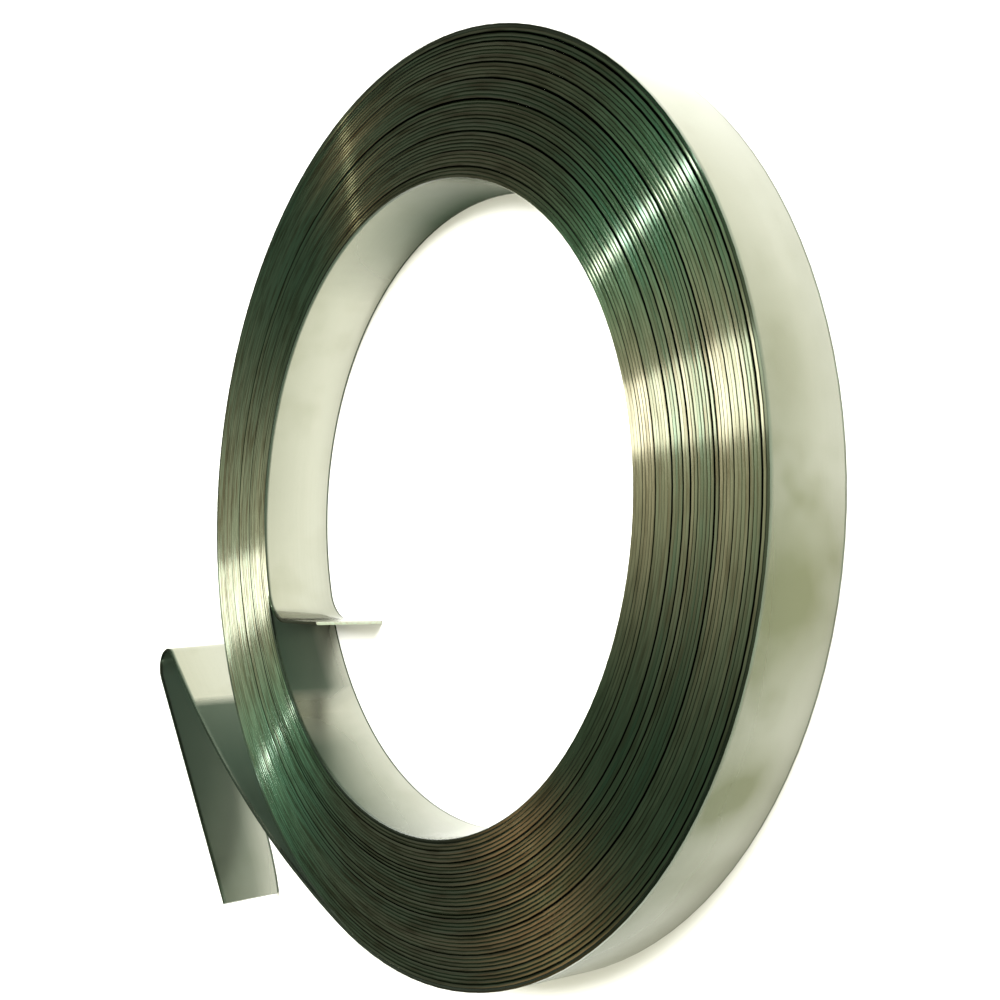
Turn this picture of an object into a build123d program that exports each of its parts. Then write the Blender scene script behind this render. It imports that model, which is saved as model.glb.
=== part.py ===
"""Roll of bright steel strapping band, lying on one end.

It is one strip, wound on itself. The outer end lifts off the roll, runs out along a slack curve, folds over
and comes back; the inner end is bent into the bore. The roll's axis is Z, and the floor is at Z = 0.
"""
import os

from build123d import *

# The band: a common width and thickness of steel strapping
BAND_WIDTH = 19.0
BAND_THICKNESS = 0.8

# The roll: its bore, and how many times the band lies over itself where it lifts off
BORE_DIAMETER = 142.0
TURN_COUNT = 38

# The fine groove between neighbouring turns, on both ends of the roll, and how far its cutter stands out
GROOVE_WIDTH = 0.3
GROOVE_DEPTH = 0.25
CUT_OVERRUN = 0.1

# The outer end: LIFT_OFF_ANGLE is counted round the axis from +X, and the other angles along the band
LIFT_OFF_ANGLE = 253.0
LIFT_OFF_GAP = 0.15
LEG_RADIUS = 271.0
LEG_BEND_ANGLE = 24.7
FOLD_RADIUS = 4.0
FOLD_ANGLE = 169.5
FLAP_LENGTH = 75.5

# The inner end
LIP_ANGLE = 197.5
LIP_GAP = 0.15
LIP_RADIUS = 9.0
LIP_BEND_ANGLE = 73.0
LIP_LENGTH = 17.0

bore_radius = BORE_DIAMETER / 2
roll_radius = bore_radius + TURN_COUNT * BAND_THICKNESS

# A turn is two half circles whose centres lie a quarter of a thickness either side of the axis,
# so that the band is one thickness further in each time it comes round to the lift-off ray.
lift_off = Vector(1, 0).rotate(Axis.Z, LIFT_OFF_ANGLE)
heading = lift_off.rotate(Axis.Z, -90)
near_centre = lift_off * (BAND_THICKNESS / 4)
far_centre = -near_centre
inner_turn = LIP_ANGLE - (LIFT_OFF_ANGLE - 180)


def groove_comb(radii, face, outward):
    """Outline of a row of V teeth that cut the grooves of one end, joined to each other outside it."""
    tip = face - outward * GROOVE_DEPTH
    root = face + outward * CUT_OVERRUN
    back = root + outward * CUT_OVERRUN
    reach = GROOVE_WIDTH / 2 * (1 + CUT_OVERRUN / GROOVE_DEPTH)
    teeth = []
    for radius in radii:
        teeth += [(radius - reach, root), (radius, tip), (radius + reach, root)]
    return teeth + [(radii[-1] + reach, back), (radii[0] - reach, back)]


with BuildPart() as strapping_band:
    with BuildSketch():
        # Rim: the outermost turn, then the outer end's face away from the roll, its cut and its other face
        with BuildLine():
            under_lift_off = lift_off * (roll_radius - BAND_THICKNESS)
            opposite = -lift_off * (roll_radius - BAND_THICKNESS / 2)
            leg_root = under_lift_off + lift_off * LIFT_OFF_GAP
            back_root = leg_root + lift_off * BAND_THICKNESS
            TangentArc(under_lift_off, opposite, tangent=heading)
            TangentArc(opposite, back_root, tangent=-heading)
            back_leg = JernArc(back_root, heading, LEG_RADIUS + BAND_THICKNESS, -LEG_BEND_ANGLE)
            back_fold = JernArc(back_leg @ 1, back_leg % 1, FOLD_RADIUS, FOLD_ANGLE)
            back_flap = Line(back_fold @ 1, back_fold @ 1 + (back_fold % 1) * FLAP_LENGTH)
            front_leg = JernArc(leg_root, heading, LEG_RADIUS, -LEG_BEND_ANGLE)
            front_fold = JernArc(front_leg @ 1, front_leg % 1, FOLD_RADIUS + BAND_THICKNESS, FOLD_ANGLE)
            front_flap = Line(front_fold @ 1, front_fold @ 1 + (front_fold % 1) * FLAP_LENGTH)
            Line(back_flap @ 1, front_flap @ 1)
            Line(leg_root, under_lift_off)
        make_face()
        # Bore: the innermost turn, with its end bent inwards
        with BuildLine():
            bore_start = lift_off * bore_radius
            bore_opposite = -lift_off * (bore_radius - BAND_THICKNESS / 2)
            TangentArc(bore_opposite, bore_start, tangent=-heading)
            inmost = JernArc(bore_opposite, heading, bore_radius - BAND_THICKNESS * 3 / 4, inner_turn)
            outward = (inmost % 1).rotate(Axis.Z, -90)
            lip_root = inmost @ 1 + outward * BAND_THICKNESS
            wall_root = lip_root + outward * LIP_GAP
            top_bend = JernArc(inmost @ 1, inmost % 1, LIP_RADIUS, LIP_BEND_ANGLE)
            top_lip = Line(top_bend @ 1, top_bend @ 1 + (top_bend % 1) * LIP_LENGTH)
            low_bend = JernArc(lip_root, inmost % 1, LIP_RADIUS + BAND_THICKNESS, LIP_BEND_ANGLE)
            low_lip = Line(low_bend @ 1, low_bend @ 1 + (low_bend % 1) * LIP_LENGTH)
            Line(top_lip @ 1, low_lip @ 1)
            Line(lip_root, wall_root)
            TangentArc(bore_start, wall_root, tangent=heading)
        make_face(mode=Mode.SUBTRACT)
    extrude(amount=BAND_WIDTH)

    # Grooves between the turns: half a turn about each centre, and the part of a turn behind the inner end
    joints = [bore_radius + count * BAND_THICKNESS for count in range(1, TURN_COUNT)]
    near_radii = [joint - BAND_THICKNESS / 4 for joint in joints]
    far_radii = [joint - BAND_THICKNESS * 3 / 4 for joint in joints]
    for centre, ray, radii, arc in (
        (near_centre, lift_off, near_radii, 180),
        (far_centre, -lift_off, far_radii[1:], 180),
        (far_centre, -lift_off, far_radii[:1], inner_turn),
    ):
        with BuildSketch(Plane(origin=centre, x_dir=ray, z_dir=ray.rotate(Axis.Z, -90))):
            Polygon(*groove_comb(radii, BAND_WIDTH, 1), align=None)
            Polygon(*groove_comb(radii, 0, -1), align=None)
        revolve(axis=Axis(centre, (0, 0, 1)), revolution_arc=arc, mode=Mode.SUBTRACT)

strapping_band.part.label = "strapping_band"
os.makedirs("parts", exist_ok=True)
export_step(strapping_band.part, "parts/strapping_band.step")
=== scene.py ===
import math
import random

import bpy
import numpy as np
from mathutils import Matrix, Vector


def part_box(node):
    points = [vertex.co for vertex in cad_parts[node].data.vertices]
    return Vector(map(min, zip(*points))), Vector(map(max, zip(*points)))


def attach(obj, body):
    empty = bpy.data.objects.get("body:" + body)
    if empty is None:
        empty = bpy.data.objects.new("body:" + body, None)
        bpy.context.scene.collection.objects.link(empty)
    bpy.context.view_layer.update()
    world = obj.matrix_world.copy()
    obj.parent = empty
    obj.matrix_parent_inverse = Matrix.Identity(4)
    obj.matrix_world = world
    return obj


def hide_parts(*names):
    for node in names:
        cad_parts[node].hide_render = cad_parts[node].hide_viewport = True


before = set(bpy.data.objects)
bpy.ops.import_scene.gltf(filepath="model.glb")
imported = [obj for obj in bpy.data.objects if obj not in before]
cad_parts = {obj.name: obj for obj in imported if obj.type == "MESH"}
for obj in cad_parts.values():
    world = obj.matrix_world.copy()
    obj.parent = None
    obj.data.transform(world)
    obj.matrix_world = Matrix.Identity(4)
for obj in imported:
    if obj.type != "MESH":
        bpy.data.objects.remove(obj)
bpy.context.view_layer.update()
node_low, node_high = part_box("strapping_band")

# The band, in metres: the same sizes as the solid that it stands for
BAND_WIDTH = node_high.z - node_low.z
BAND_PITCH = 0.0008
BORE_RADIUS = 0.071
TURN_COUNT = 38
LIFT_OFF_ANGLE = math.radians(253.0)
LEG_RADIUS = 0.271
LEG_TURN = math.radians(24.7)
FOLD_RADIUS = 0.0040
FOLD_TURN = math.radians(169.5)
FLAP_LENGTH = 0.0755
LIP_ANGLE = math.radians(197.5)
LIP_RADIUS = 0.009
LIP_TURN = math.radians(73.0)
LIP_LENGTH = 0.017
FULL_TURN = 2 * math.pi

# Stations along the band: round each turn, and on each stretch of its two ends
STATIONS_PER_TURN = 120
LIP_BEND_STATIONS = 24
LIP_STATIONS = 6
LEG_STATIONS = 60
FOLD_STATIONS = 40
FLAP_STATIONS = 30

# How the turns lie: steel a little thinner than the pitch, in bundles with slack between them
STEEL_THICKNESS = 0.00075
TURN_SLACK = (0.0, 0.00002)
BUNDLE_SLACK = (0.00010, 0.00042)
BUNDLE_TURNS = (2.0, 5.0)
SLACK_RUN = (0.75, 1.35)
SLACK_FADE = 0.14
BORE_SHIFT = (-0.0009, -0.0006)
WINDING_SEED = 1911

# How the edges run along the band: how often they change, how far, and how much of it is by bundle
EDGE_REACH = math.radians(210.0)
RIPPLE_REACH = math.radians(9.0)
REACH_SPREAD = 0.3
SPARE_TARGETS = 4
TOP_DROP = 0.0005
BOTTOM_RISE = 0.0003
RISE_POWER = 2
CORNER_POWER = 3
BUNDLE_SLOPE = math.radians(3.5)
TURN_SLOPE = math.radians(2.6)
RIPPLE_SLOPE = math.radians(0.8)
DROP_BY_BUNDLE = 0.7
TONE_BY_BUNDLE = 0.6
STRAY_BY_BUNDLE = 0.6
LIP_TONE = 0.2

# The slit edge: a long outer slope, a ridge that strays between two rows of places, a steep inner slope
FACE_TILT = 90.0
EDGE_TILTS = (39.0, 34.5, 30.0, 0.0, -39.0, -44.0, -51.0)
OUTER_PLACES = (0.96, 0.75, 0.16, 0.06, -0.03, -0.5, -0.96)
INNER_PLACES = (0.96, 0.5, -0.36, -0.46, -0.55, -0.75, -0.96)
EDGE_BURR = 0.00003
UPPER_CORNER = 0.0008
LOWER_CORNER = 0.0004
MIDDLE_SHARE = 0.4
UPPER_SIDE = 1.0
LOWER_SIDE = -1.0
SHORN_GAIN = 1.2
NEARLY_NONE = 0.01

# How far the fold leans at the upper edge, and the flap's end curls at its lower corner
FOLD_LEAN = np.array((-0.0008, -0.0022))
FLAP_CURL = np.array((-0.0045, -0.0005))
CURL_POWER = 6

# Where the bore gets painted shade and painted dark reflections: turns from the inner end, and how much it
# gets there
UNDER_LIP = ((0.930, 0.942, 0.990, 1.000), (0.0, 1.0, 1.0, 0.0))
BORE_FOOT = ((0.74, 0.80, 0.87, 0.90, 0.935), (0.0, 0.56, 0.78, 0.92, 0.0))
BORE_TOP_HIGH = ((0.0, 0.06, 0.18, 0.26, 0.29, 0.33, 0.40), (0.0, 0.15, 0.12, 0.4, 0.62, 0.6, 0.0))
BORE_TOP_LOW = ((0.18, 0.23, 0.26, 0.29, 0.33, 0.40), (0.0, 0.68, 1.0, 1.0, 0.95, 0.0))
BORE_EDGE = ((0.02, 0.05, 0.24, 0.30, 0.70, 0.76, 0.99, 1.0), (0.0, 0.85, 0.85, 0.0, 0.0, 0.85, 0.85, 0.0))
UNDER_LIP_LOW = 0.12
UNDER_LIP_MIDDLE = 0.42

# Where the rim gets painted shade and painted dark reflections: turns back from where the band lifts off,
# and how much it gets there
RIM_HIGH = ((0.0, 0.13, 0.19, 0.22, 0.30, 0.40), (0.72, 0.72, 0.5, 0.4, 0.3, 0.0))
RIM_LOW = ((0.0, 0.13, 0.19, 0.22, 0.30, 0.40), (0.4, 0.37, 0.2, 0.15, 0.05, 0.0))
RIM_EDGE = ((0.99, 1.0), (0.75, 0.0))

# Where the outer end gets painted shade and painted dark reflections: parts of the leg or the flap, and how
# much it gets there
LEG_INNER = ((0.0, 0.6, 0.8, 0.83), (1.0, 1.0, 0.92, 0.0))
LEG_OUTER_HIGH = ((0.0, 0.4), (0.72, 0.3))
LEG_OUTER_LOW = ((0.0, 0.4), (0.4, 0.3))
FLAP_HIGH = ((0.0, 0.5, 1.0), (1.0, 0.95, 0.75))
FLAP_MIDDLE = ((0.0, 0.5, 1.0), (1.0, 0.88, 0.6))
FLAP_LOW = ((0.0, 0.4, 0.7, 1.0), (1.0, 0.8, 0.35, 0.2))

# The steel's colours
CLEAN_FACE = (0.40, 0.405, 0.35, 1.0)
# A face colour for the faint soil, for painted shade towards the upper edge and for painted dark reflections
# on the rim
SOILED_AND_SHADED_FACE = (0.175, 0.18, 0.105, 1.0)
ROLLED_FACE = (0.24, 0.25, 0.20, 1.0)
COOL_EDGE = (0.25, 0.34, 0.26, 1.0)
WARM_EDGE = (0.54, 0.49, 0.38, 1.0)
BRIGHT_EDGE = (0.60, 0.68, 0.58, 1.0)
RUBBED_EDGE = (0.27, 0.25, 0.18, 1.0)
# A dark line on the slit edges' corners: partly the corner's own dark burr, partly painted contact shade at
# the floor and painted shade between the turns
CORNER_LINE_AND_SHADE = (0.035, 0.045, 0.03, 1.0)
# Painted shade and painted dark reflection: a dark steel colour laid where the steel would mirror shaded
# floor
PAINTED_SHADE_STEEL = (0.047, 0.069, 0.049, 1.0)

# The steel's finish: changes a metre along and across the band, shares, and roughness
ROLLING_LINES = (12.0, 3500.0)
EDGE_STREAKS = (90.0, 900.0)
STREAK_DETAIL = 3.0
CLOUD_SCALE = 95.0
CLOUD_DETAIL = 2.0
NOISE_MIDDLE = 0.5
CLOUD_SOIL = 0.6
# Painted shade: the faces darker towards the upper edge
HEIGHT_SHADE = 0.4
LINE_START = 0.4
LINE_GAIN = 0.4
RUB_START = 0.44
RUB_GAIN = 4.0
BRIGHT_SHARE = 0.5
CORNER_GAIN = 1.6
FACE_ROUGHNESS = 0.10
SOIL_AND_SHADE_ROUGHNESS = 0.08
LINE_ROUGHNESS = 0.05
EDGE_ROUGHNESS = 0.12
# Where the painted shade lies, the faces are also made this much less metallic
SHADE_COVER = 0.8
LINE_BUMP = 0.05
LINE_DEPTH = 0.00003

# The painted dark reflections on the rim: share, angle in degrees, and height, half width and half height in
# metres
PAINTED_RIM_REFLECTIONS = (
    (0.95, -10.0, 0.010, 0.017, 0.015),
    (0.90, -30.0, 0.011, 0.009, 0.010),
    (0.35, 11.0, 0.012, 0.018, 0.009),
    (0.35, -42.0, 0.009, 0.007, 0.009),
)
REFLECTION_DEPTH = 0.02
REFLECTION_WOBBLE = 1.3
REFLECTION_END = 1.5
REFLECTION_GAIN = 0.75
REFLECTION_POWER = 1.5

# The floor and the backdrop, in metres
FLOOR_REACH = 4.0
FLOOR_COLOUR = (0.82, 0.82, 0.81, 1.0)
FLOOR_ROUGHNESS = 0.9
BACKDROP_REACH = 1.3
BACKDROP_HEIGHT = 0.8
BACKDROP_STEPS = 96
BACKDROP_COLOUR = (0.95, 0.95, 0.94, 1.0)

# The dim room: its colours by height, and glows by direction, sharpness and colour
ROOM_WALLS = ((0.0, (0.125, 0.118, 0.095)), (0.4, (0.10, 0.112, 0.08)), (0.7, (0.06, 0.10, 0.066)))
ROOM_GLOWS = (
    ((0.10, 0.70, 0.70), 16.0, (0.17, 0.44, 0.28, 1.0)),
    ((-0.40, -0.86, 0.32), 40.0, (0.55, 0.37, 0.21, 1.0)),
    ((0.29, 0.20, 0.936), 9.0, (0.66, 0.65, 0.46, 1.0)),
)

# The lamps: direction, distance, sides, way of the first side, brightness, colour, and if steel shows it
SLANT = (0.93, 0.16, -0.33)
WINDOW_SLANT = (0.644, 0.418, -0.641)
SIDE_SLANT = (-0.26, 0.717, 0.646)
LAMPS = {
    "overhead_shine": ((0.277, 0.292, 0.916), 3.0, (1.3, 0.72), SLANT, 2.5, (1.0, 0.98, 0.90), True),
    "overhead_soft": ((0.12, 0.22, 0.97), 3.0, (0.7, 0.7), SLANT, 64.0, (1.0, 0.99, 0.97), False),
    "window_shine": ((0.10, 0.78, 0.61), 3.0, (0.75, 0.10), WINDOW_SLANT, 9.5, (0.86, 1.0, 0.96), True),
    "window_soft": ((0.0, 0.45, 0.90), 1.5, (1.2, 1.2), SLANT, 5.0, (1.0, 1.0, 0.99), False),
    "side_shine": ((-0.47, -0.68, 0.565), 3.0, (0.3, 0.1), SIDE_SLANT, 2.4, (1.0, 0.92, 0.60), True),
    "ceiling": ((0.2, -0.35, 0.9), 1.5, (2.4, 2.4), SLANT, 1.75, (1.0, 0.97, 0.80), False),
}

# The camera, in millimetres for its lens and metres for its place
CAMERA_SENSOR = 36.0
CAMERA_LENS = 46.588
CAMERA_NEAREST = 0.01
CAMERA_EYE = Vector((0.23630, -0.01369, 0.17202))
CAMERA_AZIMUTH = math.radians(53.198)
CAMERA_RISE = math.radians(-2.942)
CAMERA_ROLL = math.radians(0.634)

# The Mix node's sockets for colours, by number because its names repeat
MIX_SHARE_IN = 0
MIX_FIRST_IN = 6
MIX_SECOND_IN = 7
MIX_COLOUR_OUT = 2


class Wire:
    """A shader socket that takes part in Python expressions: each operator adds one Math node."""

    def __init__(self, tree, socket):
        self.tree = tree
        self.socket = socket

    def sum_up(self, operation, first, second):
        return node(self.tree, "ShaderNodeMath", {"operation": operation}, {0: first, 1: second})

    def __add__(self, other):
        return self.sum_up("ADD", self, other)

    def __radd__(self, other):
        return self.sum_up("ADD", other, self)

    def __sub__(self, other):
        return self.sum_up("SUBTRACT", self, other)

    def __rsub__(self, other):
        return self.sum_up("SUBTRACT", other, self)

    def __mul__(self, other):
        return self.sum_up("MULTIPLY", self, other)

    def __rmul__(self, other):
        return self.sum_up("MULTIPLY", other, self)

    def __pow__(self, other):
        return self.sum_up("POWER", self, other)

    def clamp(self):
        return node(self.tree, "ShaderNodeClamp", {}, {"Value": self})


def node(tree, kind, settings, sockets, out=0):
    """Add a node: its settings first, then the values or links of its sockets."""
    made = tree.nodes.new(kind)
    for name, value in settings.items():
        if name == "stops":
            fill_ramp(made.color_ramp, value)
        else:
            setattr(made, name, value)
    for key, value in sockets.items():
        if isinstance(value, Wire):
            tree.links.new(value.socket, made.inputs[key])
        else:
            made.inputs[key].default_value = value
    return Wire(tree, made.outputs[out])


def fill_ramp(ramp, stops):
    """Give a colour ramp its stops, each a place and a colour."""
    while len(ramp.elements) < len(stops):
        ramp.elements.new(1.0)
    for element, (place, colour) in zip(ramp.elements, stops):
        element.position = place
        element.color = (*colour, 1.0)


def mix_colour(tree, share, first, second):
    """Mix two colours by a share, on the Mix node's sockets for colours."""
    sockets = {MIX_SHARE_IN: share, MIX_FIRST_IN: first, MIX_SECOND_IN: second}
    return node(tree, "ShaderNodeMix", {"data_type": "RGBA"}, sockets, MIX_COLOUR_OUT)


def mesh_value(tree, name):
    """A value from 0 to 1 that the mesh carries."""
    return node(tree, "ShaderNodeAttribute", {"attribute_name": name}, {}, "Fac").clamp()


def drawn_noise(tree, uv, changes):
    """Noise that is drawn out along the band, with so many changes a metre along it and across it."""
    along = node(tree, "ShaderNodeSeparateXYZ", {}, {"Vector": uv}, "X")
    across = node(tree, "ShaderNodeSeparateXYZ", {}, {"Vector": uv}, "Y")
    drawn = node(tree, "ShaderNodeCombineXYZ", {}, {"X": along * changes[0], "Y": across * changes[1]})
    return node(tree, "ShaderNodeTexNoise", {}, {"Vector": drawn, "Scale": 1.0, "Detail": STREAK_DETAIL})


def new_material(name):
    """An empty material with its shader and output."""
    material = bpy.data.materials.new(name)
    material.use_nodes = True
    return material, material.node_tree, material.node_tree.nodes["Principled BSDF"]


def join(shader, tree, **links):
    """Link wires to the shader's sockets by their names, with _ for a space."""
    for name, wire in links.items():
        tree.links.new(wire.socket, shader.inputs[name.replace("_", " ")])


def eased(part):
    """A share from 0 to 1 that starts and stops softly."""
    return part * part * (3 - 2 * part)


def wander(chance, reach, low, high, angles):
    """A smooth random value along the winding, with a new target about every reach."""
    count = int(angles[-1] / reach) + SPARE_TARGETS
    targets = np.array([chance.uniform(low, high) for _ in range(count)])
    places = [(k + chance.uniform(-REACH_SPREAD, REACH_SPREAD)) * reach for k in range(count)]
    spots = np.interp(angles, places, np.arange(count))
    base = np.floor(spots).astype(int)
    ahead = np.minimum(base + 1, count - 1)
    part = eased(spots - base)
    return targets[base] * (1 - part) + targets[ahead] * part


def arc_run(point, heading, radius, turn, steps):
    """Points and headings along an arc; a positive turn goes left."""
    side = math.copysign(1.0, turn)
    centre = point + radius * side * np.array([-math.sin(heading), math.cos(heading)])
    headings = heading + np.linspace(0.0, turn, steps + 1)
    outward = np.stack([np.sin(headings), -np.cos(headings)], axis=1) * side
    return centre + radius * outward, headings


def straight_run(point, heading, length, steps):
    """Points and headings along a straight run."""
    part = np.linspace(0.0, length, steps + 1)[:, None]
    points = point + part * np.array([math.cos(heading), math.sin(heading)])
    return points, np.full(steps + 1, heading)


def bundle_starts(chance, whole):
    """Where along the winding a new bundle of turns begins, in turns."""
    starts = [0.0]
    while starts[-1] < whole / FULL_TURN:
        starts.append(starts[-1] + chance.uniform(*BUNDLE_TURNS))
    return starts


def bundle_values(chance, starts, low, high, turns):
    """One random value a bundle, changed over from each bundle to the next."""
    places = []
    values = []
    for start in starts:
        value = chance.uniform(low, high)
        places += [start + SLACK_FADE, start + SLACK_FADE * 2]
        values += [values[-1] if values else value, value]
    return np.interp(turns, places, values)


def bundled_wander(chance, starts, wound, spread, by_bundle):
    """A random value from 0 to 1 along the winding: a share of it by bundle, and the rest by turn."""
    bundles = bundle_values(chance, starts, 0.0, by_bundle, wound)
    return bundles + wander(chance, EDGE_REACH, 0.0, 1.0 - by_bundle, spread)


def turn_slack(chance, starts, turns):
    """Slack under each turn: next to none inside a bundle, and plain to see below its first turn."""
    slack = wander(chance, EDGE_REACH, *TURN_SLACK, turns * FULL_TURN)
    for start in starts[1:]:
        end = start + chance.uniform(*SLACK_RUN)
        places = [start, start + SLACK_FADE, end - SLACK_FADE, end]
        rise = np.interp(turns, places, [0.0, 1.0, 1.0, 0.0])
        slack += eased(rise) * chance.uniform(*BUNDLE_SLACK)
    return slack


def wound_turns(chance):
    """The turns of the roll from the inner end outwards: each lies on the one before it, with its slack."""
    first_turn = LIP_ANGLE - LIFT_OFF_ANGLE + FULL_TURN
    whole = (TURN_COUNT - 1) * FULL_TURN + first_turn
    count = int(round(whole / FULL_TURN * STATIONS_PER_TURN)) + 1
    angles = np.linspace(0.0, whole, count)
    starts = bundle_starts(chance, whole)
    slack = turn_slack(chance, starts, angles / FULL_TURN)
    polar = LIP_ANGLE - angles
    shift = BORE_SHIFT[0] * np.cos(polar) + BORE_SHIFT[1] * np.sin(polar)
    radius = BORE_RADIUS + BAND_PITCH * ((angles - first_turn) / FULL_TURN + 0.5) + shift
    lap = np.arange(count) % STATIONS_PER_TURN
    outer = lap[STATIONS_PER_TURN:]
    laps = np.bincount(outer)
    room = laps * (BAND_PITCH - STEEL_THICKNESS) - shift[:STATIONS_PER_TURN]
    slack = slack * (room / np.bincount(outer, slack[STATIONS_PER_TURN:]))[lap]
    for k in range(STATIONS_PER_TURN, count):
        radius[k] = radius[k - STATIONS_PER_TURN] + STEEL_THICKNESS + slack[k]
    points = np.stack([np.cos(polar), np.sin(polar)], axis=1) * radius[:, None]
    return points, polar - math.pi / 2, starts


def inner_lip(root, heading):
    """The inner end, bent into the bore: walked back from the winding, then turned round."""
    radius = LIP_RADIUS + BAND_PITCH / 2
    bend, way = arc_run(root, heading + math.pi, radius, LIP_TURN, LIP_BEND_STATIONS)
    tail, tail_way = straight_run(bend[-1], way[-1], LIP_LENGTH, LIP_STATIONS)
    points = np.concatenate([bend[1:], tail[1:]])[::-1]
    headings = np.concatenate([way[1:], tail_way[1:]])[::-1] - math.pi
    return points, headings


def outer_end(root, heading):
    """The outer end: a slack leg, a tight fold and the flap that comes back."""
    half = BAND_PITCH / 2
    leg, leg_way = arc_run(root, heading, LEG_RADIUS + half, -LEG_TURN, LEG_STATIONS)
    fold, fold_way = arc_run(leg[-1], leg_way[-1], FOLD_RADIUS + half, FOLD_TURN, FOLD_STATIONS)
    flap, flap_way = straight_run(fold[-1], fold_way[-1], FLAP_LENGTH, FLAP_STATIONS)
    points = np.concatenate([leg[1:], fold[1:], flap[1:]])
    headings = np.concatenate([leg_way[1:], fold_way[1:], flap_way[1:]])
    return points, headings


def end_lean(whole):
    """How far the upper and the lower edge stand off the band's middle line, station by station."""
    upper = np.zeros((whole, 2))
    lower = np.zeros((whole, 2))
    bent = LEG_STATIONS + FOLD_STATIONS
    rise = np.linspace(0.0, 1.0, bent)[:, None]
    tip = np.linspace(0.0, 1.0, FLAP_STATIONS)[:, None]
    upper[-FLAP_STATIONS - bent:-FLAP_STATIONS] = FOLD_LEAN * rise * rise
    upper[-FLAP_STATIONS:] = FOLD_LEAN * (1 - tip)
    lower[-FLAP_STATIONS:] = FLAP_CURL * tip ** CURL_POWER
    return upper, lower


def edge_run(chance, starts, wound, spread):
    """How the slit edges run, station by station: drop, rise, slope, tone, corner line (partly painted
    shade) and stray.
    """
    drop = bundled_wander(chance, starts, wound, spread, DROP_BY_BUNDLE)
    rise = wander(chance, EDGE_REACH, 0.0, 1.0, spread) ** RISE_POWER
    slope = bundle_values(chance, starts, -1.0, 1.0, wound) * BUNDLE_SLOPE
    slope += wander(chance, EDGE_REACH, -1.0, 1.0, spread) * TURN_SLOPE
    slope += wander(chance, RIPPLE_REACH, -1.0, 1.0, spread) * RIPPLE_SLOPE
    tone = bundled_wander(chance, starts, wound, spread, TONE_BY_BUNDLE)
    tone[wound < 0.0] = LIP_TONE
    corner_darkness = wander(chance, EDGE_REACH, 0.0, 1.0, spread) ** CORNER_POWER
    corner_darkness[wound < 1.0] = 1.0
    stray = bundled_wander(chance, starts, wound, spread, STRAY_BY_BUNDLE)
    return drop, rise, slope, tone, corner_darkness, stray


def painted_shade_by_station(wound):
    """How much painted shade and painted dark reflection the steel gets by station: high up, midway and low
    down on each face, and on the slit edge.
    """
    left = TURN_COUNT + (LIP_ANGLE - LIFT_OFF_ANGLE) / FULL_TURN - wound
    flap = slice(-FLAP_STATIONS, None)
    fold = slice(-FLAP_STATIONS - FOLD_STATIONS, -FLAP_STATIONS)
    leg = slice(fold.start - LEG_STATIONS, fold.start)
    leg_part = np.linspace(0.0, 1.0, LEG_STATIONS)
    flap_part = np.linspace(0.0, 1.0, FLAP_STATIONS)
    edge = np.interp(wound, *BORE_EDGE) + np.interp(left, *RIM_EDGE)
    under_lip = np.interp(wound, *UNDER_LIP)
    inner_high = under_lip + np.interp(wound, *BORE_TOP_HIGH) + np.interp(wound, *BORE_FOOT)
    inner_low = UNDER_LIP_LOW * under_lip + np.interp(wound, *BORE_TOP_LOW)
    inner_high[leg] = np.interp(leg_part, *LEG_INNER)
    inner_low[leg] = inner_high[leg]
    inner_middle = inner_low + (inner_high - inner_low) * MIDDLE_SHARE + UNDER_LIP_MIDDLE * under_lip
    outer_high = np.interp(left, *RIM_HIGH)
    outer_low = np.interp(left, *RIM_LOW)
    outer_high[leg] = np.interp(leg_part, *LEG_OUTER_HIGH)
    outer_low[leg] = np.interp(leg_part, *LEG_OUTER_LOW)
    outer_high[fold] = 1.0
    outer_low[fold] = 1.0
    outer_middle = outer_low + (outer_high - outer_low) * MIDDLE_SHARE
    outer_high[flap] = np.interp(flap_part, *FLAP_HIGH)
    outer_middle[flap] = np.interp(flap_part, *FLAP_MIDDLE)
    outer_low[flap] = np.interp(flap_part, *FLAP_LOW)
    return (inner_high, inner_middle, inner_low), edge, (outer_high, outer_middle, outer_low)


def slit_section(places):
    """The slit edge from the outer face to the inner one: turn of each normal, place aside and drop."""
    half = STEEL_THICKNESS / 2
    tilts = [FACE_TILT, *EDGE_TILTS, -FACE_TILT]
    asides = [half, *(part * half for part in places), -half]
    ridge = tilts.index(0.0)
    drops = [0.0] * len(tilts)
    for side in (-1, 1):
        k = ridge + side
        while 0 < k < len(tilts) - 1:
            lean = math.radians(abs(tilts[k] + tilts[k - side]) / 2)
            drops[k] = drops[k - side] + abs(asides[k] - asides[k - side]) * math.tan(lean)
            k += side
        drops[k] = drops[k - side] + EDGE_BURR
    turns = [math.radians(FACE_TILT - tilt) for tilt in tilts]
    return np.array([turns, asides, drops]).T


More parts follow.
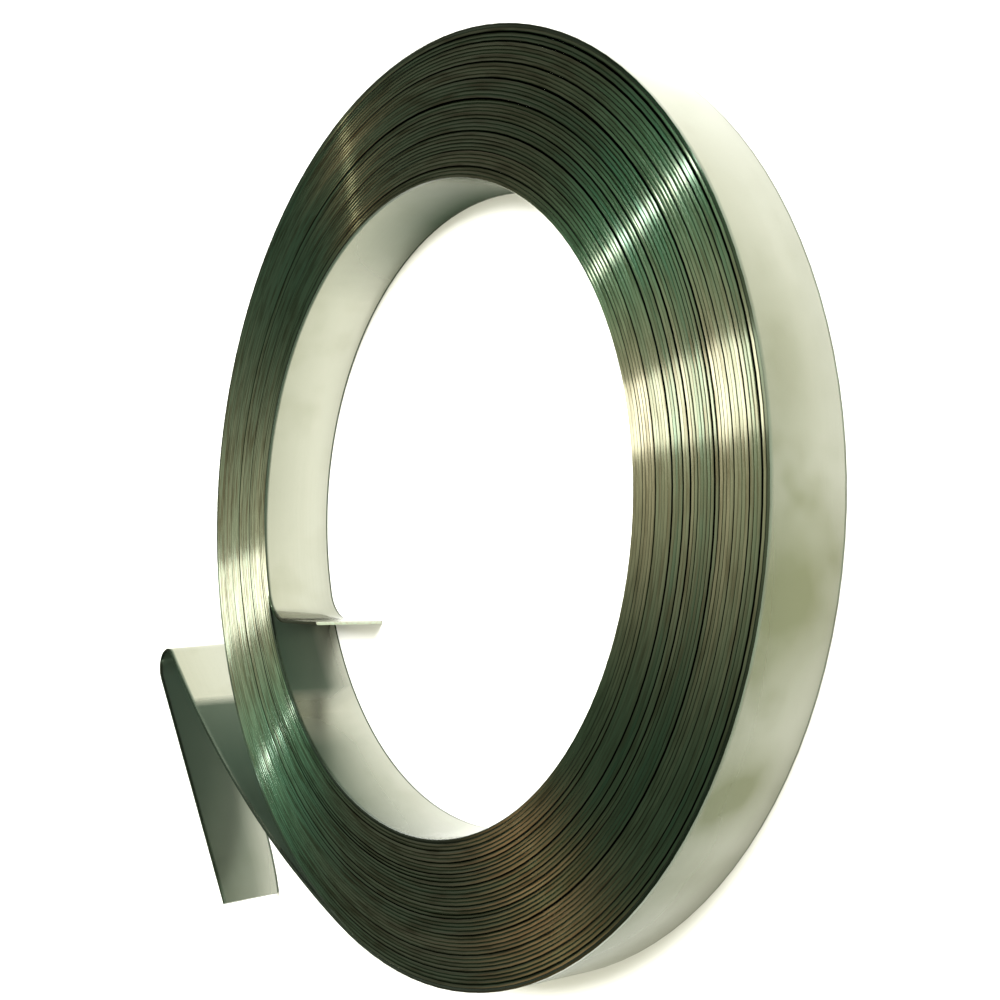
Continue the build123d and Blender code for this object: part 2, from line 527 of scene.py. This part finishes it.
def band_rings(wound, stray):
    """Round the band's section: turn of the normal, place aside, fall, side, painted shade, and if it is
    slit.
    """
    inner_shade, edge_shade, outer_shade = painted_shade_by_station(wound)
    outer_ridge = slit_section(OUTER_PLACES)
    inner_ridge = slit_section(INNER_PLACES)
    middle = (outer_ridge + inner_ridge) / 2
    deepest = max(outer_ridge[:, 2].max(), inner_ridge[:, 2].max())
    sole = min(middle[1, 2], middle[-2, 2])
    falls = (deepest + UPPER_CORNER, BAND_WIDTH * MIDDLE_SHARE, deepest + LOWER_CORNER - sole)
    sides = (UPPER_SIDE, LOWER_SIDE, LOWER_SIDE)
    outer_face = [(*middle[0, :2], *row, False) for row in zip(falls, sides, outer_shade)]
    inner_face = [(*middle[-1, :2], *row, False) for row in zip(falls, sides, inner_shade)]
    rings = outer_face[:1]
    for one, other in zip(outer_ridge, inner_ridge):
        aside, fall = one[1:, None] + (other - one)[1:, None] * stray
        rings.append((one[0], aside, fall, UPPER_SIDE, edge_shade, True))
    rings += inner_face
    for turn, aside, fall in middle[[-1, -2, 1, 0]]:
        rings.append((turn, aside, fall - sole, LOWER_SIDE, edge_shade, True))
    return rings + outer_face[:0:-1]


def strapping_band_mesh(chance):
    """The whole band as rings of points from its inner end to its outer one, with what its looks need."""
    turns, turn_way, starts = wound_turns(chance)
    lip, lip_way = inner_lip(turns[0], turn_way[0])
    end, end_way = outer_end(turns[-1], turn_way[-1])
    path = np.concatenate([lip, turns, end])
    way = np.concatenate([lip_way, turn_way, end_way])
    count = len(path)
    outward = np.stack([-np.sin(way), np.cos(way)], axis=1)
    steps = np.linalg.norm(np.diff(path, axis=0), axis=1)
    length = np.concatenate([[0.0], np.cumsum(steps)])
    wound = (np.arange(count) - len(lip)) / STATIONS_PER_TURN
    drop, rise, slope, tone, corner_darkness, stray = edge_run(chance, starts, wound, length / BORE_RADIUS)
    steep = np.tan(slope)
    upper, lower = end_lean(count)
    lean = ((upper - lower) * outward).sum(axis=1) / BAND_WIDTH
    spots = []
    normals = []
    looks = {"slit_edge": [], "corner_line": [], "dulled": [], "inner_slope": [], "turn_tone": []}
    for turn, aside, fall, side, shade, slit in band_rings(wound, stray):
        facing = np.full(count, turn)
        height = rise * BOTTOM_RISE + fall
        if side == UPPER_SIDE:
            facing = turn + slope * math.sin(turn)
            height = BAND_WIDTH - drop * TOP_DROP - fall + steep * aside
            height -= np.abs(steep) * STEEL_THICKNESS / 2
        part = (height / BAND_WIDTH)[:, None]
        place = path + outward * np.full(count, aside)[:, None] + upper * part + lower * (1 - part)
        spots.append(np.column_stack([place, height]))
        flat = outward * np.cos(facing)[:, None]
        normals.append(np.column_stack([flat, side * np.sin(facing) - lean * np.cos(facing)]))
        shorn = min(1.0, SHORN_GAIN * math.sin(turn))
        corner = float(slit and shorn < NEARLY_NONE)
        inner = float(math.cos(turn) < -NEARLY_NONE)
        looks["slit_edge"].append(np.full(count, max(shorn, corner)))
        # The dark corner line: partly burr, partly painted shade at the floor and between the turns
        looks["corner_line"].append(corner_darkness * corner)
        # The painted shade, ring by ring
        looks["dulled"].append(shade)
        looks["inner_slope"].append(np.full(count, inner))
        looks["turn_tone"].append(tone)
    return np.stack(spots, axis=1), np.stack(normals, axis=1), length, looks, way


def mesh_from_rings(name, spots, normals, length, looks, way):
    """A closed tube of rings with flat ends."""
    count, ring = spots.shape[:2]
    row = np.arange(count - 1)[:, None] * ring
    spot = np.arange(ring)[None, :]
    after = (spot + 1) % ring
    quads = np.stack([row + spot, row + after, row + ring + after, row + ring + spot], axis=2)
    start = list(range(ring))[::-1]
    finish = [(count - 1) * ring + k for k in range(ring)]
    mesh = bpy.data.meshes.new(name)
    mesh.from_pydata(spots.reshape(-1, 3).tolist(), [], quads.reshape(-1, 4).tolist() + [start, finish])
    around = np.concatenate([[0.0], np.cumsum(np.linalg.norm(np.diff(spots[0], axis=0), axis=1))])
    corner = np.zeros(len(mesh.loops), dtype=np.int32)
    mesh.loops.foreach_get("vertex_index", corner)
    uv = np.stack([length[corner // ring], around[corner % ring]], axis=1)
    mesh.uv_layers.new(name="along_band").data.foreach_set("uv", uv.astype(np.float32).ravel())
    for title, columns in looks.items():
        layer = mesh.attributes.new(title, "FLOAT", "POINT")
        layer.data.foreach_set("value", np.stack(columns, axis=1).astype(np.float32).ravel())
    facing = normals.reshape(-1, 3)[corner]
    facing /= np.linalg.norm(facing, axis=1)[:, None]
    heading = np.stack([np.cos(way), np.sin(way), np.zeros(count)], axis=1)
    facing[-2 * ring:-ring] = -heading[0]
    facing[-ring:] = heading[-1]
    mesh.polygons.foreach_set("use_smooth", [True] * len(mesh.polygons))
    mesh.normals_split_custom_set(facing.tolist())
    mesh.validate()
    return mesh


def painted_rim_reflection(tree, spot, wobble, degrees, height, reach, rise):
    """A soft painted dark reflection on the outermost turn, by its angle round the axis, its height and its
    half sizes.
    """
    angle = math.radians(degrees)
    radius = BORE_RADIUS + TURN_COUNT * BAND_PITCH
    sockets = {
        "Vector": spot,
        "Location": (radius * math.cos(angle), radius * math.sin(angle), height),
        "Rotation": (0.0, 0.0, angle),
        "Scale": (REFLECTION_DEPTH, reach, rise),
    }
    near = node(tree, "ShaderNodeMapping", {"vector_type": "TEXTURE"}, sockets)
    far = node(tree, "ShaderNodeVectorMath", {"operation": "LENGTH"}, {0: near}, "Value") + wobble
    return ((REFLECTION_END - far) * REFLECTION_GAIN).clamp() ** REFLECTION_POWER


def face_soil_and_shade(tree, spot):
    """How soiled and shaded the faces are: a faint cloud of soil, painted shade more towards the upper edge,
    and the painted dark reflections on the rim.
    """
    sockets = {"Vector": spot, "Scale": CLOUD_SCALE, "Detail": CLOUD_DETAIL}
    cloud = node(tree, "ShaderNodeTexNoise", {}, sockets) - NOISE_MIDDLE
    height = node(tree, "ShaderNodeSeparateXYZ", {}, {"Vector": spot}, "Z") * (1.0 / BAND_WIDTH)
    wobble = cloud * REFLECTION_WOBBLE
    # A faint cloud of soil, and painted shade growing towards the upper edge
    soil_and_shade = cloud.clamp() * CLOUD_SOIL + height * HEIGHT_SHADE
    # Painted dark reflections on the rim
    for share, *place in PAINTED_RIM_REFLECTIONS:
        soil_and_shade = soil_and_shade + share * painted_rim_reflection(tree, spot, wobble, *place)
    return soil_and_shade.clamp()


def shorn_steel(tree, uv):
    """The slit edge's colour: cool or warm by turn, brighter on its inner slope, and rubbed in streaks."""
    streaks = drawn_noise(tree, uv, EDGE_STREAKS)
    shorn = mix_colour(tree, mesh_value(tree, "turn_tone"), COOL_EDGE, WARM_EDGE)
    bright = mix_colour(tree, mesh_value(tree, "inner_slope") * BRIGHT_SHARE, shorn, BRIGHT_EDGE)
    return mix_colour(tree, ((streaks - RUB_START) * RUB_GAIN).clamp(), bright, RUBBED_EDGE)


def bright_steel():
    """Cold-rolled strip: bright faces with rolling lines, faint soil, painted shade towards the upper edge
    and painted dark reflections on the rim, darker slit edges, dark corner lines partly of painted shade,
    and painted shade where the steel would mirror shaded floor.
    """
    material, tree, shader = new_material("bright_steel")
    uv = node(tree, "ShaderNodeUVMap", {"uv_map": "along_band"}, {})
    spot = node(tree, "ShaderNodeTexCoord", {}, {}, "Object")
    edge = mesh_value(tree, "slit_edge")
    corner = mesh_value(tree, "corner_line")
    dulled = mesh_value(tree, "dulled")
    face = 1.0 - edge
    lines = drawn_noise(tree, uv, ROLLING_LINES)
    # Soil, painted shade towards the upper edge and painted dark reflections on the rim
    soil_and_shade = face_soil_and_shade(tree, spot)
    soiled_and_shaded = mix_colour(tree, soil_and_shade, CLEAN_FACE, SOILED_AND_SHADED_FACE)
    rolled = mix_colour(tree, ((lines - LINE_START) * LINE_GAIN).clamp(), soiled_and_shaded, ROLLED_FACE)
    body = mix_colour(tree, edge, rolled, shorn_steel(tree, uv))
    # Dark corner lines, partly burr and partly painted shade at the floor and between the turns
    with_corner_lines = mix_colour(tree, (corner * CORNER_GAIN).clamp(), body, CORNER_LINE_AND_SHADE)
    # Painted shade and painted dark reflections where the steel would mirror shaded floor
    colour = mix_colour(tree, dulled, with_corner_lines, PAINTED_SHADE_STEEL)
    satin = FACE_ROUGHNESS + SOIL_AND_SHADE_ROUGHNESS * soil_and_shade + LINE_ROUGHNESS * lines
    rough = satin + (EDGE_ROUGHNESS - satin) * edge
    # Under the painted shade the faces are also less metallic
    bare = 1.0 - SHADE_COVER * dulled * face
    relief = {"Height": lines * face, "Strength": LINE_BUMP, "Distance": LINE_DEPTH}
    bump = node(tree, "ShaderNodeBump", {}, relief)
    join(shader, tree, Base_Color=colour, Roughness=rough, Metallic=bare, Normal=bump)
    shader.inputs["Specular IOR Level"].default_value = 0.0
    return material


def pale_floor():
    """A plain white floor."""
    material, _, shader = new_material("pale_floor")
    shader.inputs["Base Color"].default_value = FLOOR_COLOUR
    shader.inputs["Roughness"].default_value = FLOOR_ROUGHNESS
    shader.inputs["Specular IOR Level"].default_value = 0.0
    return material


def add_floor():
    """The floor under the roll."""
    corners = [(x * FLOOR_REACH, y * FLOOR_REACH, 0.0) for x, y in ((-1, -1), (1, -1), (1, 1), (-1, 1))]
    mesh = bpy.data.meshes.new("floor")
    mesh.from_pydata(corners, [], [(0, 1, 2, 3)])
    mesh.materials.append(pale_floor())
    floor = bpy.data.objects.new("floor", mesh)
    bpy.context.scene.collection.objects.link(floor)


def pale_wall():
    """A plain white wall that needs no lamp."""
    material, _, shader = new_material("pale_wall")
    shader.inputs["Base Color"].default_value = (0.0, 0.0, 0.0, 1.0)
    shader.inputs["Specular IOR Level"].default_value = 0.0
    shader.inputs["Emission Color"].default_value = BACKDROP_COLOUR
    shader.inputs["Emission Strength"].default_value = 1.0
    return material


def add_backdrop():
    """A low round wall on the floor, for other views: steel doesn't mirror it, and it gives no light."""
    corners = []
    for k in range(BACKDROP_STEPS):
        angle = FULL_TURN * k / BACKDROP_STEPS
        foot = (BACKDROP_REACH * math.cos(angle), BACKDROP_REACH * math.sin(angle))
        corners += [(*foot, 0.0), (*foot, BACKDROP_HEIGHT)]
    count = len(corners)
    faces = [(k, k + 1, (k + 3) % count, (k + 2) % count) for k in range(0, count, 2)]
    mesh = bpy.data.meshes.new("backdrop")
    mesh.from_pydata(corners, [], faces)
    mesh.materials.append(pale_wall())
    backdrop = bpy.data.objects.new("backdrop", mesh)
    backdrop.visible_glossy = False
    backdrop.visible_diffuse = False
    backdrop.visible_shadow = False
    bpy.context.scene.collection.objects.link(backdrop)


def add_lamp(name, direction, distance, sides, first_way, radiance, colour, in_steel):
    """A panel lamp that faces the roll, by its panel's brightness: it shows in steel or lights the floor."""
    data = bpy.data.lights.new(name, "AREA")
    data.shape = "RECTANGLE"
    data.size, data.size_y = sides
    data.energy = radiance * math.pi * sides[0] * sides[1]
    data.color = colour
    lamp = bpy.data.objects.new(name, data)
    aim = Vector(direction).normalized()
    first_side = Vector(first_way) - aim * aim.dot(Vector(first_way))
    first_side.normalize()
    columns = Matrix((first_side, aim.cross(first_side), aim)).transposed().to_4x4()
    lamp.matrix_world = Matrix.Translation(aim * distance) @ columns
    lamp.visible_glossy = in_steel
    lamp.visible_diffuse = not in_steel
    bpy.context.scene.collection.objects.link(lamp)


def glow(tree, way, direction, sharpness):
    """How near a direction of the room is to a glow's middle, from 0 to 1."""
    aim = Vector(direction).normalized()
    near = node(tree, "ShaderNodeVectorMath", {"operation": "DOT_PRODUCT"}, {0: way, 1: aim}, "Value")
    return near.clamp() ** sharpness


def add_room():
    """A dim room, green above and brown near the floor, with its glows and the lamps."""
    world = bpy.data.worlds.new("room")
    bpy.context.scene.world = world
    world.use_nodes = True
    tree = world.node_tree
    way = node(tree, "ShaderNodeTexCoord", {}, {}, "Generated")
    rise = node(tree, "ShaderNodeSeparateXYZ", {}, {"Vector": way}, "Z")
    room = node(tree, "ShaderNodeValToRGB", {"stops": ROOM_WALLS}, {"Fac": rise})
    for direction, sharpness, colour in ROOM_GLOWS:
        room = mix_colour(tree, glow(tree, way, direction, sharpness), room, colour)
    tree.links.new(room.socket, tree.nodes["Background"].inputs["Color"])
    for name, lamp in LAMPS.items():
        add_lamp(name, *lamp)


def add_camera():
    """The camera, at the photograph's view."""
    data = bpy.data.cameras.new("photo_view")
    data.sensor_width = CAMERA_SENSOR
    data.lens = CAMERA_LENS
    data.clip_start = CAMERA_NEAREST
    camera = bpy.data.objects.new("photo_view", data)
    bpy.context.scene.collection.objects.link(camera)
    back = Vector((
        math.sin(CAMERA_AZIMUTH) * math.cos(CAMERA_RISE),
        math.sin(CAMERA_RISE),
        math.cos(CAMERA_AZIMUTH) * math.cos(CAMERA_RISE),
    ))
    level = Vector((math.cos(CAMERA_AZIMUTH), 0.0, -math.sin(CAMERA_AZIMUTH)))
    upright = back.cross(level)
    right = level * math.cos(CAMERA_ROLL) + upright * math.sin(CAMERA_ROLL)
    up = upright * math.cos(CAMERA_ROLL) - level * math.sin(CAMERA_ROLL)
    columns = Matrix((right, up, back)).transposed().to_4x4()
    camera.matrix_world = Matrix.Translation(CAMERA_EYE) @ columns
    bpy.context.scene.camera = camera


def add_strapping_band():
    """The band itself, in place of the plain solid."""
    chance = random.Random(WINDING_SEED)
    mesh = mesh_from_rings("wound_band", *strapping_band_mesh(chance))
    mesh.materials.append(bright_steel())
    band = bpy.data.objects.new("wound_band", mesh)
    bpy.context.scene.collection.objects.link(band)
    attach(band, "root")
    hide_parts("strapping_band")


add_camera()
add_floor()
add_backdrop()
add_room()
add_strapping_band()
bpy.context.scene.view_settings.view_transform = "Standard"
